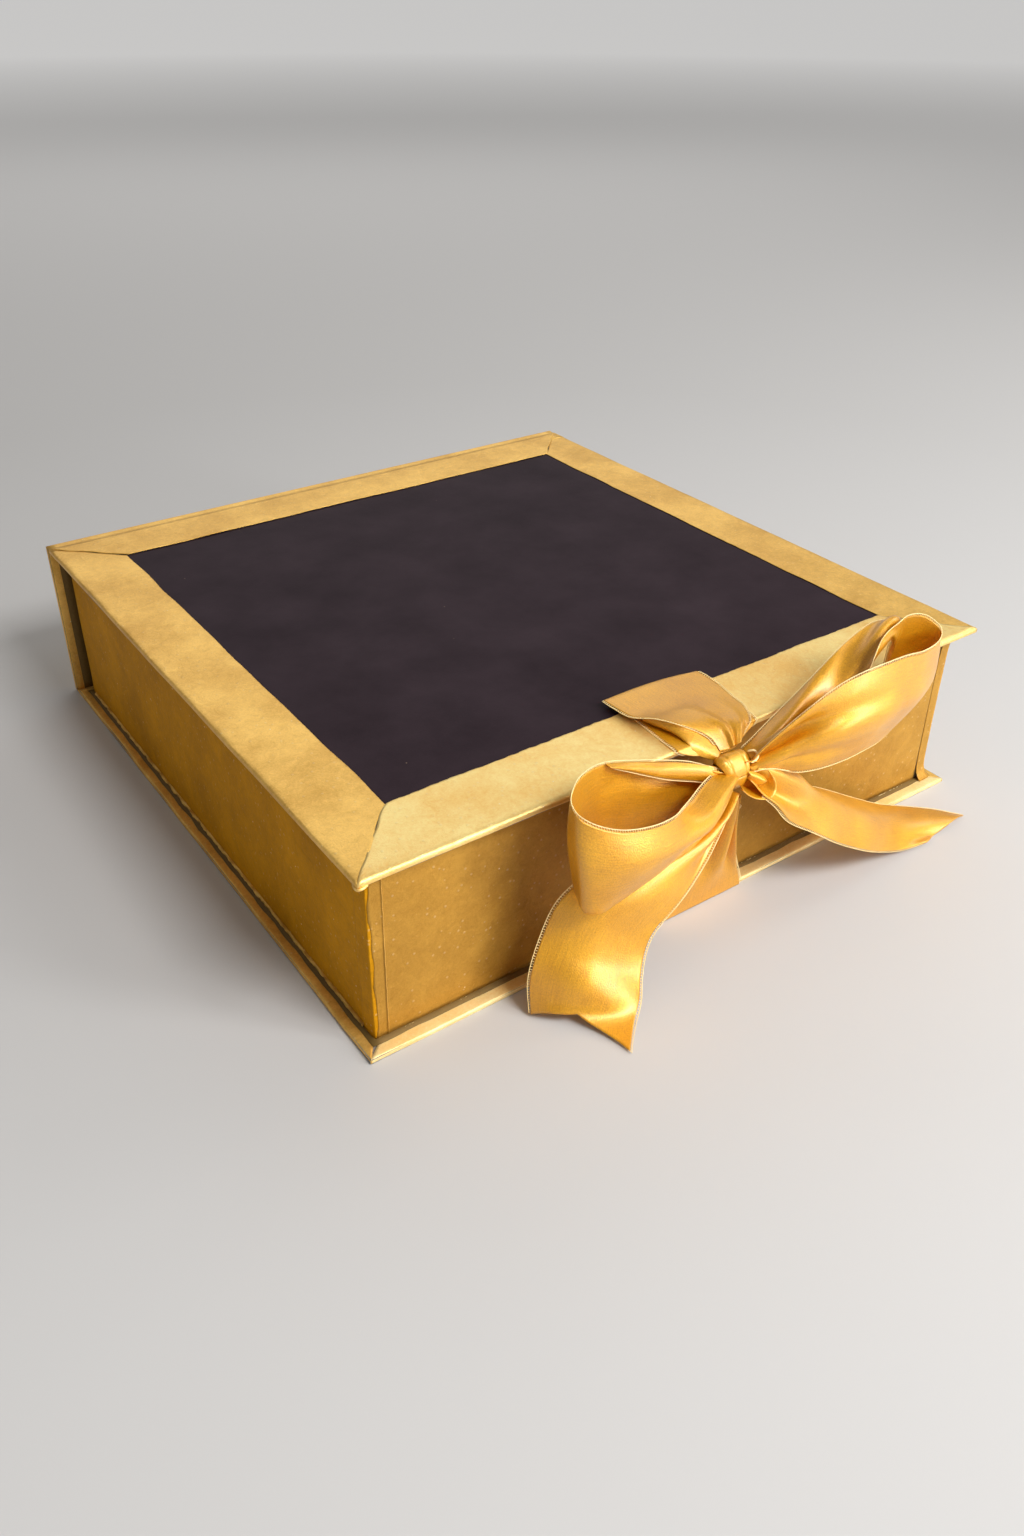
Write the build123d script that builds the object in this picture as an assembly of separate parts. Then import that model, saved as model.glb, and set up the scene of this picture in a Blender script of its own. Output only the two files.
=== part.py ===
from build123d import *
import os

# A hand-made, book-style gift box: a case of three boards (base, spine, lid) joined by paper hinges,
# a tray glued on the base, gold covering papers, and two satin ribbons tied in a bow at the front.
# Millimetres. X runs to the right, Y to the back, Z up. The origin is on the table, under the centre
# of the base.

# ---- driving dimensions
case_width = 260.0        # base and lid, along X
case_depth = 262.0        # base and lid, along Y
overall_height = 69.3     # table to the top of the lid's border
board = 1.6               # base, spine and lid board
wall = 1.8                # tray wall board
floor_board = 1.2         # tray floor board
paper = 0.2               # every covering and lining paper
side_overhang = 5.2       # base and lid beyond the tray at the left and right
front_overhang = 6.5      # base and lid beyond the tray at the front
back_overhang = 5.5       # base and lid beyond the tray at the back
lid_gap = 0.3             # tray rim to the closed lid's lining
joint_gap = 2.8           # back edge of base and lid to the spine's lining
spine_end_gap = 0.2       # spine's ends to the hinge papers
turn_in = 15.0            # paper folded over a board's edge onto its inner face
liner_margin = 3.5        # board's edge to its liner
corner_wrap = 4.8         # side cover's turn around each tray corner
border_left = 24.6        # gold border on the lid
border_right = 22.6
border_front = 27.5
border_back = 23.3
ribbon_width = 38.0
satin = 0.6               # satin ribbon, two plies and the air between them
bow_gap = 0.3             # ribbon stretches to the knot and to the box
fold_rise = 6.0           # height of the upper ribbon's fold above the border
lid_open = 88.0           # degrees the lid swings on the spine; it then rests on its ribbon's fold
spine_open = 90.0         # degrees the spine swings on the base, down to the table

# ---- heights and planes that follow from them
base_top = paper + board + paper
tray_bottom = base_top + paper
lid_under = overall_height - 4 * paper - board
tray_top = lid_under - lid_gap
half_width = case_width / 2
half_depth = case_depth / 2
tray_left = -half_width + side_overhang
tray_right = half_width - side_overhang
tray_front = -half_depth + front_overhang
tray_back = half_depth - back_overhang
spine_inner = half_depth + joint_gap
spine_outer = spine_inner + paper + paper + board + paper
board_end = half_width - paper
floor_top = tray_bottom + floor_board
border_in_left = -half_width + border_left
border_in_right = half_width - border_right
border_in_front = -half_depth + border_front
border_in_back = half_depth - border_back


def slab(x0, x1, y0, y1, z0, z1):
    """A box between two corners."""
    centre = ((x0 + x1) / 2, (y0 + y1) / 2, (z0 + z1) / 2)
    return Pos(*centre) * Box(x1 - x0, y1 - y0, z1 - z0)


def mitre_wedge(side, x0, x1, y0, y1, z0, z1):
    """The space that one side's border may fill, between two mitres that meet in the corners."""
    inner = {
        "front": [(x0, y0), (x1, y0), (border_in_right, border_in_front), (border_in_left, border_in_front)],
        "back": [(x0, y1), (x1, y1), (border_in_right, border_in_back), (border_in_left, border_in_back)],
        "left": [(x0, y0), (x0, y1), (border_in_left, border_in_back), (border_in_left, border_in_front)],
        "right": [(x1, y0), (x1, y1), (border_in_right, border_in_back), (border_in_right, border_in_front)],
    }[side]
    outline = make_face(Polyline(*[(x, y, z0) for x, y in inner], close=True))
    return extrude(outline, amount=z1 - z0, dir=(0, 0, 1))


# ---- the case's base
def base_board():
    return slab(-board_end, board_end, -half_depth + paper, half_depth - paper, paper, paper + board)


def base_cover():
    """One sheet under the board, folded over its edges onto the top face."""
    sheet = slab(-half_width, half_width, -half_depth, half_depth, 0, base_top)
    window = slab(-half_width + turn_in, half_width - turn_in, -half_depth + turn_in,
                  half_depth - turn_in, paper + board, base_top)
    return sheet - base_board() - window


def liner(z_face, z_board, back_edge):
    """A lining sheet that laps over the turn-ins and lies on the board between them."""
    low, high = sorted((z_face, z_board))
    step = paper if z_face > z_board else -paper
    face_low, face_high = sorted((z_face, z_face - step))
    lap = slab(-half_width + liner_margin, half_width - liner_margin, -half_depth + liner_margin,
               back_edge, face_low, face_high)
    inset = slab(-half_width + turn_in, half_width - turn_in, -half_depth + turn_in,
                 half_depth - turn_in, low, high)
    return lap + inset


def hinge_cloth_lower():
    """The paper hinge under the joint between base and spine."""
    return slab(-half_width, half_width, half_depth, spine_outer - paper, 0, paper)


# ---- the tray
def tray_floor():
    return slab(tray_left + paper + wall, tray_right - paper - wall, tray_front + paper + wall,
                tray_back - paper - wall, tray_bottom, floor_top)


def tray_wall(side):
    left, right = tray_left + paper, tray_right - paper
    front, back = tray_front + paper, tray_back - paper
    low, high = tray_bottom, tray_top - paper
    if side == "front":
        return slab(left, right, front, front + wall, low, high)
    if side == "back":
        return slab(left, right, back - wall, back, low, high)
    if side == "left":
        return slab(left, left + wall, front + wall, back - wall, low, high)
    return slab(right - wall, right, front + wall, back - wall, low, high)


def tray_cover(side):
    """The gold paper on one wall and its rim; the side papers turn round the corners."""
    ring = slab(tray_left, tray_right, tray_front, tray_back, tray_bottom, tray_top)
    inside = slab(tray_left + paper + wall, tray_right - paper - wall, tray_front + paper + wall,
                  tray_back - paper - wall, tray_bottom, tray_top)
    boards = slab(tray_left + paper, tray_right - paper, tray_front + paper, tray_back - paper,
                  tray_bottom, tray_top - paper)
    shell = ring - inside - boards
    x0, x1 = tray_left + corner_wrap, tray_right - corner_wrap
    if side == "front":
        return shell & slab(x0, x1, tray_front, tray_front + paper + wall, tray_bottom, tray_top)
    if side == "back":
        return shell & slab(x0, x1, tray_back - paper - wall, tray_back, tray_bottom, tray_top)
    if side == "left":
        return shell & slab(tray_left, x0, tray_front, tray_back, tray_bottom, tray_top)
    return shell & slab(x1, tray_right, tray_front, tray_back, tray_bottom, tray_top)


lining_left = tray_left + paper + wall
lining_right = tray_right - paper - wall
lining_front = tray_front + paper + wall
lining_back = tray_back - paper - wall


def tray_wall_lining():
    """One strip of lining paper round the inside of the tray, on top of the floor board."""
    outer = slab(lining_left, lining_right, lining_front, lining_back, floor_top, tray_top)
    inner = slab(lining_left + paper, lining_right - paper, lining_front + paper, lining_back - paper,
                 floor_top, tray_top)
    return outer - inner


def tray_floor_lining():
    return slab(lining_left + paper, lining_right - paper, lining_front + paper, lining_back - paper,
                floor_top, floor_top + paper)


# ---- the spine
spine_low = paper + spine_end_gap
spine_high = overall_height - paper - spine_end_gap


def spine_board():
    return slab(-board_end, board_end, spine_inner + 2 * paper, spine_outer - paper,
                spine_low + paper, spine_high - paper)


def spine_cover():
    """The outer paper, folded over the ends of the spine board onto its inner face."""
    sheet = slab(-half_width, half_width, spine_inner + paper, spine_outer, spine_low, spine_high)
    window = slab(-half_width + turn_in, half_width - turn_in, spine_inner + paper,
                  spine_inner + 2 * paper, spine_low, spine_high)
    return sheet - spine_board() - window


def spine_liner():
    lap = slab(-half_width + liner_margin, half_width - liner_margin, spine_inner, spine_inner + paper,
               spine_low, spine_high)
    inset = slab(-half_width + turn_in, half_width - turn_in, spine_inner + paper,
                 spine_inner + 2 * paper, spine_low, spine_high)
    return lap + inset


# ---- the lid
lid_board_low = lid_under + 2 * paper
lid_board_high = lid_board_low + board
panel_high = lid_board_high + paper


def lid_board():
    return slab(-board_end, board_end, -half_depth + paper, half_depth - paper,
                lid_board_low, lid_board_high)


def lid_panel_paper():
    """The dark sheet on the lid board; the gold borders lap over its margin."""
    return slab(-board_end, board_end, -half_depth + paper, half_depth - paper,
                lid_board_high, panel_high)


def lid_border(side):
    """A mitred gold strip from the lid's top, round its edge, onto its underside."""
    low = lid_board_low - paper
    high = panel_high + paper
    sheet = slab(-half_width, half_width, -half_depth, half_depth, low, high)
    core = slab(-board_end, board_end, -half_depth + paper, half_depth - paper, lid_board_low, panel_high)
    top_window = slab(border_in_left, border_in_right, border_in_front, border_in_back, panel_high, high)
    under_window = slab(-half_width + turn_in, half_width - turn_in, -half_depth + turn_in,
                        half_depth - turn_in, low, lid_board_low)
    wedge = mitre_wedge(side, -half_width, half_width, -half_depth, half_depth, low, high)
    return (sheet - core - top_window - under_window) & wedge


def hinge_cloth_upper():
    """The paper hinge over the joint between lid and spine."""
    high = panel_high + paper
    return slab(-half_width, half_width, half_depth, spine_outer - paper, high - paper, high)


# ---- the ribbons
def strip(points, widths, across, thickness=satin):
    """A ribbon through points, each with its width and the direction that its width runs in."""
    centres = [Vector(*p) for p in points]
    rings = []
    for i, centre in enumerate(centres):
        ahead = centres[min(i + 1, len(centres) - 1)]
        behind = centres[max(i - 1, 0)]
        travel = (ahead - behind).normalized()
        broad = Vector(*across[i])
        broad = (broad - travel * broad.dot(travel)).normalized() * (widths[i] / 2)
        thin = travel.cross(broad).normalized() * (thickness / 2)
        rings.append([centre + broad + thin, centre - broad + thin, centre - broad - thin, centre + broad - thin])
    triangles = [[rings[0][0], rings[0][1], rings[0][2]], [rings[0][0], rings[0][2], rings[0][3]]]
    triangles += [[rings[-1][0], rings[-1][1], rings[-1][2]], [rings[-1][0], rings[-1][2], rings[-1][3]]]
    for one, two in zip(rings, rings[1:]):
        for k in range(4):
            nxt = (k + 1) % 4
            triangles += [[one[k], one[nxt], two[nxt]], [one[k], two[nxt], two[k]]]
    return Solid(Shell([Face(Wire.make_polygon(t)) for t in triangles]))


lid_front = -half_depth
knot_height = 57.6
knot_out = 8.0                       # knot's centre, in front of the lid's edge
knot_wide, knot_deep, knot_tall = 13.5, 9.0, 16.0
knot_x = 1.5
knot_y = lid_front - knot_out
strap_narrow = 9.0


def ribbon_upper():
    """Glued along the lid's border, folded back on itself, then gathered over the edge to the knot."""
    top = panel_high + paper
    fold_back = border_in_front + 10
    flat = slab(-ribbon_width / 2 + knot_x, ribbon_width / 2 + knot_x, lid_front - satin - bow_gap,
                fold_back, top, top + satin)
    fold = Pos(knot_x, fold_back - fold_rise / 2, top + satin)
    fold = fold * extrude(Plane.YZ * fold_outline(fold_rise, lid_front - fold_back + fold_rise / 2),
                          amount=ribbon_width / 2, both=True)
    drop = strip(
        [(knot_x, lid_front - bow_gap - satin / 2, top + satin),
         (knot_x, lid_front - bow_gap - satin / 2, knot_height + knot_tall / 2 + bow_gap)],
        [ribbon_width * 0.8, strap_narrow], [(1, 0, 0)] * 2)
    return flat + fold + drop


def fold_outline(rise, reach):
    """Side outline of the folded ply: a soft wedge that thins towards the lid's edge."""
    return make_face(Polyline((0, 0), (reach, 0), (reach, satin), (-rise / 2, rise), (0, rise * 0.6),
                              close=True))


def ribbon_lower():
    """From under the base's front edge, over the base and up to the knot."""
    low = (knot_x - 1, lid_front - bow_gap - satin / 2, satin)
    high = (knot_x, knot_y + knot_deep / 2 - satin, knot_height - knot_tall / 2 - bow_gap)
    return strip([low, high], [ribbon_width, strap_narrow], [(1, 0, 0)] * 2)


def bow_knot():
    body = Box(knot_wide, knot_deep, knot_tall)
    body = fillet(body.edges().filter_by(Axis.Z), knot_deep * 0.4)
    return Pos(knot_x, knot_y, knot_height) * body


def bow_loop(side):
    """A loop from the knot out to its round end and back, open upwards and downwards."""
    if side == "left":
        out, across = Vector(-74.5, -16, 10), (0.04, -0.27, -0.96)
        shape = [(0, -2.2), (24, -6.0), (47, -10), (66, -9), (75.5, 0), (67, 10), (47, 12.5), (24, 8), (0, 2.2)]
    else:
        out, across = Vector(79, -10, 16), (0.15, -0.36, -0.92)
        shape = [(0, -2.2), (26, -6.0), (52, -9), (72, -8.5), (83, 0), (73, 9), (50, 11.5), (26, 7.5), (0, 2.2)]
    reach = out.normalized()
    broad = Vector(*across)
    opening = reach.cross(broad).normalized()
    if opening.Y > 0:
        opening = opening * -1
    scale = ribbon_width / 38.0
    start = knot_wide / 2 + bow_gap + scale
    knot = Vector(knot_x, knot_y, knot_height)
    points = [knot + reach * (start + u * scale) + opening * (v * scale) for u, v in shape]
    fullness = [0.24, 0.62, 0.92, 1, 1, 1, 0.92, 0.62, 0.24]
    widths = [ribbon_width * share for share in fullness]
    return strip([tuple(p) for p in points], widths, [across] * len(points))


def bow_tail(side):
    """A free end from the knot down to the table."""
    if side == "left":
        route = [(-8.5, -1, -7), (-20, -5, -22), (-40, -8, -38), (-57, -12, -49.5), (-72, -16, -55.2)]
        across = [(0.5, 0, 0.86), (0.75, -0.3, 0.6), (0.8, -0.5, 0.3), (0.5, -0.86, 0), (0.3, -0.95, 0)]
        fullness = [0.1, 0.6, 0.95, 0.95, 0.9]
    else:
        route = [(8.5, -1, -7), (28, -2, -23), (55, -4, -40), (78, -7, -49), (101, -10, -55.6)]
        across = [(0.2, 0.2, 0.95), (0.2, 0.3, 0.9), (0.2, 0.45, 0.8), (0.1, 0.85, 0.45), (0, 1, 0)]
        fullness = [0.1, 0.45, 0.5, 0.4, 0.2]
    drop = (knot_height - satin) / 57.0
    points = [(knot_x + x, knot_y + y, knot_height + z * drop) for x, y, z in route]
    return strip(points, [ribbon_width * share for share in fullness], across)


nodes = {
    "base_board": base_board(),
    "base_cover": base_cover(),
    "base_liner": liner(tray_bottom, paper + board, half_depth - liner_margin),
    "hinge_cloth_lower": hinge_cloth_lower(),
    "tray_floor": tray_floor(),
    "tray_floor_lining": tray_floor_lining(),
    "tray_wall_lining": tray_wall_lining(),
    "spine_board": spine_board(),
    "spine_cover": spine_cover(),
    "spine_liner": spine_liner(),
    "lid_board": lid_board(),
    "lid_panel_paper": lid_panel_paper(),
    "lid_liner": liner(lid_under, lid_board_low, half_depth - liner_margin),
    "hinge_cloth_upper": hinge_cloth_upper(),
    "ribbon_upper": ribbon_upper(),
    "ribbon_lower": ribbon_lower(),
    "bow_knot": bow_knot(),
}
for side in ("front", "back", "left", "right"):
    nodes["tray_wall_" + side] = tray_wall(side)
    nodes["tray_cover_" + side] = tray_cover(side)
    nodes["lid_border_" + side] = lid_border(side)
for side in ("left", "right"):
    nodes["bow_loop_" + side] = bow_loop(side)
    nodes["bow_tail_" + side] = bow_tail(side)

os.makedirs("parts", exist_ok=True)
for name, shape in nodes.items():
    export_step(shape, "parts/" + name + ".step")
print("spine hinge on the table at y", round(spine_outer, 2), "opens", spine_open)
print("lid hinge at y", round(spine_outer, 2), "z", round(overall_height, 2), "opens", lid_open)
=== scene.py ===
import math
import random
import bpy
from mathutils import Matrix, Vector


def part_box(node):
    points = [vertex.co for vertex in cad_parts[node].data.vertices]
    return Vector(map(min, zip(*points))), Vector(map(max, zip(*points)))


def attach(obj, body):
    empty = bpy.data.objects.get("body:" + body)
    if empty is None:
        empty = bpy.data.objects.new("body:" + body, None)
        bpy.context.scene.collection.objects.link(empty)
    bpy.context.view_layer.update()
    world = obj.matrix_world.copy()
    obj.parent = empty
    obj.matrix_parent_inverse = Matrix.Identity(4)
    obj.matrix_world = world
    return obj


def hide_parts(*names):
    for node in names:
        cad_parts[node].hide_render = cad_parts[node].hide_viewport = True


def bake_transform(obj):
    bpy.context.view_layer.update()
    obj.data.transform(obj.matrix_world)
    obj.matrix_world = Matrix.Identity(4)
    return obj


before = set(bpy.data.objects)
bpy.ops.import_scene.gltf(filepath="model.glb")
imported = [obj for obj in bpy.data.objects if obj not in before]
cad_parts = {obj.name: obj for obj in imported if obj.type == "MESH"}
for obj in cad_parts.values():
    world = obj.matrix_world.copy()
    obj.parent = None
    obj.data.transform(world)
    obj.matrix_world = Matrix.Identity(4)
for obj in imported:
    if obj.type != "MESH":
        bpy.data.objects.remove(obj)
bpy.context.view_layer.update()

from types import SimpleNamespace

import bpy
from mathutils import Matrix, Vector, noise

MM = 0.001


# -------- camera
def camera():
    """Above the box's front left corner, held a third of a degree off level."""
    place = Vector((-243.6, -364.4, 280.6)) * MM
    target = Vector((-19.8, -45.8, 34.6)) * MM
    data = bpy.data.cameras.new("camera")
    data.sensor_width = 36
    data.lens = 28.956
    data.shift_y = -0.02586
    data.clip_start = 0.01
    eye = bpy.data.objects.new("camera", data)
    bpy.context.scene.collection.objects.link(eye)
    aim = (target - place).to_track_quat("-Z", "Y").to_matrix().to_4x4()
    eye.matrix_world = Matrix.Translation(place) @ aim @ Matrix.Rotation(math.radians(0.331), 4, "Z")
    bpy.context.scene.camera = eye


camera()


# -------- measures, in millimetres
def extent(*nodes):
    """The box round some CAD nodes."""
    lows, highs = zip(*[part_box(node) for node in nodes])
    low = [min(p[i] for p in lows) / MM for i in range(3)]
    high = [max(p[i] for p in highs) / MM for i in range(3)]
    return SimpleNamespace(x0=low[0], y0=low[1], z0=low[2], x1=high[0], y1=high[1], z1=high[2])


base = extent("base_cover")
lid = extent("lid_border_front", "lid_border_back", "lid_border_left", "lid_border_right")
tray = extent("tray_cover_left", "tray_cover_right")
spine = extent("spine_cover")
panel_z = extent("lid_panel_paper").z1
liner_z = extent("base_liner").z1
border = SimpleNamespace(
    left=extent("lid_border_left").x1 - lid.x0,
    right=lid.x1 - extent("lid_border_right").x0,
    front=extent("lid_border_front").y1 - lid.y0,
    back=lid.y1 - extent("lid_border_back").y0)
turn_in = 15.0       # width of the paper turned over a board
wrap = 4.6           # side papers reach this far round the tray's corners
turn = 0.45          # corner radius of the tray papers
wall = 2.0           # tray wall with its papers
paper = 0.25         # a sheet of covering paper, unless a piece says otherwise


# -------- shader writing
class Wire:
    """A value in a material that ordinary arithmetic can be written with."""

    def __init__(self, finish, socket):
        self.finish = finish
        self.socket = socket

    def sum_with(self, operation, *values):
        """A maths node over some values."""
        return self.finish.node("ShaderNodeMath", {"operation": operation}, dict(enumerate(values)))

    def __add__(self, other):
        return self.sum_with("ADD", self, other)

    def __sub__(self, other):
        return self.sum_with("SUBTRACT", self, other)

    def __rsub__(self, other):
        return self.sum_with("SUBTRACT", other, self)

    def __mul__(self, other):
        return self.sum_with("MULTIPLY", self, other)

    def __truediv__(self, other):
        return self.sum_with("DIVIDE", self, other)

    __radd__ = __add__
    __rmul__ = __mul__


class Finish:
    """A material: one Principled shader and the nodes that feed it."""

    def __init__(self, name, **shader):
        self.material = bpy.data.materials.new(name)
        self.material.use_nodes = True
        self.tree = self.material.node_tree
        self.shader = self.tree.nodes["Principled BSDF"]
        for socket, value in shader.items():
            self.shader.inputs[socket.replace("_", " ")].default_value = value

    def node(self, kind, settings=None, inputs=None, output=0):
        """Adds a shader node, sets it and feeds it, and gives one of its outputs."""
        made = self.tree.nodes.new(kind)
        for name, value in (settings or {}).items():
            setattr(made, name, value)
        for name, value in (inputs or {}).items():
            self.feed(made.inputs[name], value)
        return Wire(self, made.outputs[output])

    def feed(self, socket, value):
        """Links a Wire to a socket, or sets a plain value there."""
        if isinstance(value, Wire):
            self.tree.links.new(value.socket, socket)
        else:
            socket.default_value = value

    def set(self, **sockets):
        """Feeds sockets of the Principled shader."""
        for name, value in sockets.items():
            self.feed(self.shader.inputs[name.replace("_", " ")], value)

    def place(self, stretch=(1, 1, 1), output="Object"):
        """Where a point lies, in metres, stretched along each axis."""
        spot = self.node("ShaderNodeTexCoord", output=output)
        return self.node("ShaderNodeMapping", {"vector_type": "POINT"}, {"Vector": spot, "Scale": stretch})

    def noise(self, size_mm, detail=3.0, rough=0.5, twist=0.0, at=None):
        """Soft noise whose features are about size_mm across."""
        return self.node("ShaderNodeTexNoise", None, {
            "Vector": at or self.place(), "Scale": 1 / (size_mm * MM), "Detail": detail,
            "Roughness": rough, "Distortion": twist})

    def specks(self, size_mm, share, at=None):
        """1 on small scattered specks, 0 elsewhere."""
        far = self.node("ShaderNodeTexVoronoi", None, {
            "Vector": at or self.place(), "Scale": 1 / (size_mm * MM)})
        return self.level(far, share, share * 0.6)

    def level(self, value, low, high):
        """Stretches low..high to 0..1, held at both ends."""
        return self.node("ShaderNodeMapRange", {"clamp": True}, {
            "Value": value, "From Min": low, "From Max": high})

    def mix(self, share, one, two, blend="MIX"):
        made = self.tree.nodes.new("ShaderNodeMix")
        made.data_type = "RGBA"
        made.blend_type = blend
        for socket, value in ((made.inputs[0], share), (made.inputs[6], one), (made.inputs[7], two)):
            if isinstance(value, tuple):
                value = (*value, 1) if len(value) == 3 else value
            self.feed(socket, value)
        return Wire(self, made.outputs[2])

    def bump(self, height, depth_mm, strength=1.0):
        relief = self.node("ShaderNodeBump", None, {
            "Height": height, "Distance": depth_mm * MM, "Strength": strength})
        self.set(Normal=relief)


# -------- finishes
def gold_paper(name, deep, bright, roughness=0.42, metal=0.6, gloss=0.25):
    """Metallic gold covering paper: leathery grain, soft mottling, and tiny pale specks and blisters that
    are painted glints.
    """
    finish = Finish(name, Metallic=metal, Specular_IOR_Level=gloss)
    cloud = finish.noise(26, 4, 0.6)
    grain = finish.noise(1.1, 5, 0.65, 0.6)
    crease = finish.noise(5.5, 4, 0.6, 1.4)
    fine = finish.noise(0.55, 3, 0.7)
    tone = finish.level(cloud * 0.45 + grain * 0.2 + crease * 0.2 + fine * 0.15, 0.40, 0.60)
    colour = finish.mix(tone, deep, bright)
    speck = finish.specks(7, 0.045)
    blister = finish.specks(3.1, 0.17)
    # Painted glints: the specks, and faintly the blisters, are mixed towards pale gold.
    finish.set(Base_Color=finish.mix(speck * 0.75 + blister * 0.16, colour, (1.0, 0.86, 0.55)))
    finish.set(Roughness=roughness + (grain - 0.5) * 0.25 + (cloud - 0.5) * 0.12)
    finish.bump(grain * 0.4 + crease * 0.8 + fine * 0.15 + speck * 0.4 + blister * 0.3, 0.24, 0.95)
    return finish.material


def plum_paper():
    """Matt plum-charcoal paper with a faint mottle."""
    finish = Finish("plum_paper", Specular_IOR_Level=0.12)
    cloud = finish.noise(34, 5, 0.62)
    fibre = finish.noise(0.9, 4, 0.6, 0.5)
    tone = finish.level(cloud * 0.7 + fibre * 0.3, 0.36, 0.66)
    colour = finish.mix(tone, (0.017, 0.008, 0.012), (0.033, 0.019, 0.025))
    speck = finish.specks(16, 0.02)
    finish.set(Base_Color=finish.mix(speck * 0.5, colour, (0.30, 0.20, 0.14)))
    finish.set(Roughness=0.62 + (fibre - 0.5) * 0.2)
    finish.bump(fibre, 0.05, 0.6)
    return finish.material


def olive_lining():
    """Matt olive-brown lining paper."""
    finish = Finish("olive_lining", Specular_IOR_Level=0.3, Metallic=0.25)
    fibre = finish.noise(1.3, 4, 0.6, 0.4)
    finish.set(Base_Color=finish.mix(fibre, (0.13, 0.072, 0.014), (0.23, 0.135, 0.032)))
    finish.set(Roughness=0.6 + (fibre - 0.5) * 0.2)
    finish.bump(fibre, 0.06, 0.6)
    return finish.material


def grey_board():
    """Bookbinder's board, for the cut edges that show."""
    finish = Finish("grey_board", Roughness=0.9)
    fibre = finish.noise(0.8, 5, 0.7)
    finish.set(Base_Color=finish.mix(fibre, (0.16, 0.14, 0.12), (0.30, 0.27, 0.23)))
    finish.bump(fibre, 0.1, 0.6)
    return finish.material


def satin(name, deep, bright):
    """Satin: a saturated ground under a pale, soft gloss, with fine streaks along the ribbon."""
    finish = Finish(name, Specular_IOR_Level=0.3, Metallic=0.38,
                    Coat_Weight=0.9, Coat_Roughness=0.38, Coat_IOR=1.65)
    along = finish.place((1, 26, 1), "UV")
    streak = finish.noise(9, 3, 0.6, at=along)
    weave = finish.noise(0.5, 2, 0.5)
    swell = finish.noise(15, 2, 0.45)
    tone = finish.level(streak * 0.35 + swell * 0.3 + weave * 0.35, 0.36, 0.64)
    finish.set(Base_Color=finish.mix(tone, deep, bright))
    finish.set(Roughness=0.38 + (weave - 0.5) * 0.2 + (streak - 0.5) * 0.1)
    finish.bump(weave * 0.11 + streak * 0.06 + swell * 0.85, 1.6, 0.9)
    return finish.material


gold = gold_paper("gold_paper", (0.70, 0.39, 0.078), (1.0, 0.63, 0.165))
# Lighter copies of the gold paper for the front strips of the lid and base and the lid's corner lip: painted
# light.
lit_front_gold = gold_paper("lit_front_gold", (0.90, 0.54, 0.145), (1.0, 0.78, 0.31))
lit_pale_gold = gold_paper("lit_pale_gold", (0.90, 0.62, 0.23), (1.0, 0.82, 0.42), 0.45, 0.3)
# Darker copies of the gold paper for the tray walls, the darkest for the left wall: painted shade.
shaded_wall_gold = gold_paper("shaded_wall_gold", (0.40, 0.195, 0.024), (0.58, 0.31, 0.050), 0.5, 0.45)
shade_gold = gold_paper("shade_gold", (0.50, 0.22, 0.004), (0.72, 0.33, 0.008), 0.62, 0.35, 0.05)
# The picot thread is paler than the satin so the selvages read bright: painted highlight.
lit_thread_gold = Finish("lit_thread_gold", Base_Color=(1.0, 0.76, 0.34, 1),
                     Roughness=0.5, Specular_IOR_Level=0.8).material
glue = Finish("dried_glue", Base_Color=(0.55, 0.40, 0.16, 1),
              Roughness=0.15, Specular_IOR_Level=0.9).material
plum = plum_paper()
lining = olive_lining()
board = grey_board()
ribbon_satin = satin("ribbon_satin", (0.60, 0.245, 0.001), (0.92, 0.455, 0.007))


# -------- mesh making
def ripple(x, y, size, amount, seed=0.0):
    """A smooth random offset in millimetres, with waves about size long."""
    return amount * noise.noise(Vector((x / size, y / size, seed)))


def bell(x, middle, width):
    """1 at the middle, falling away smoothly on both sides."""
    return math.exp(-((x - middle) / width) ** 2)


def spread(low, high, step):
    """Evenly spaced values from low to high, about step apart."""
    count = max(2, round(abs(high - low) / step) + 1)
    return [low + (high - low) * i / (count - 1) for i in range(count)]


def mesh_object(name, points, faces, material, body=None, uvs=None):
    """A smooth mesh from points in millimetres, riding on its body."""
    mesh = bpy.data.meshes.new(name)
    mesh.from_pydata([Vector(p) * MM for p in points], [], faces)
    mesh.materials.append(material)
    mesh.polygons.foreach_set("use_smooth", [True] * len(mesh.polygons))
    if uvs:
        layer = mesh.uv_layers.new(name="along_and_across")
        for loop in mesh.loops:
            layer.data[loop.index].uv = uvs[loop.vertex_index]
    made = bpy.data.objects.new(name, mesh)
    bpy.context.scene.collection.objects.link(made)
    if body:
        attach(made, body)
    return made


def grid_faces(long, wide, closed=False):
    """Four-sided faces over a grid; closed joins the two ends of every row."""
    faces = []
    for r in range(long - 1):
        for c in range(wide - (0 if closed else 1)):
            n = (c + 1) % wide
            faces.append((r * wide + c, r * wide + n, (r + 1) * wide + n, (r + 1) * wide + c))
    return faces


def thicken(made, thick, offset=-1.0):
    """A real thickness for a sheet, kept in its mesh."""
    shell = made.modifiers.new("thickness", "SOLIDIFY")
    shell.thickness = thick * MM
    shell.offset = offset
    shell.use_even_offset = False
    seen = made.evaluated_get(bpy.context.evaluated_depsgraph_get())
    solid = bpy.data.meshes.new_from_object(seen)
    made.modifiers.clear()
    made.data = solid


def sheet_mesh(name, rows, material, body, thick=paper, closed=False, uvs=None, offset=-1.0, node=None):
    """A sheet through rows of points in millimetres. It stands for a CAD node, if one is named."""
    points = [p for row in rows for p in row]
    made = mesh_object(name, points, grid_faces(len(rows), len(rows[0]), closed), material, body, uvs)
    if thick:
        thicken(made, thick, offset)
    if node:
        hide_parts(node)
    return made


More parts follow.
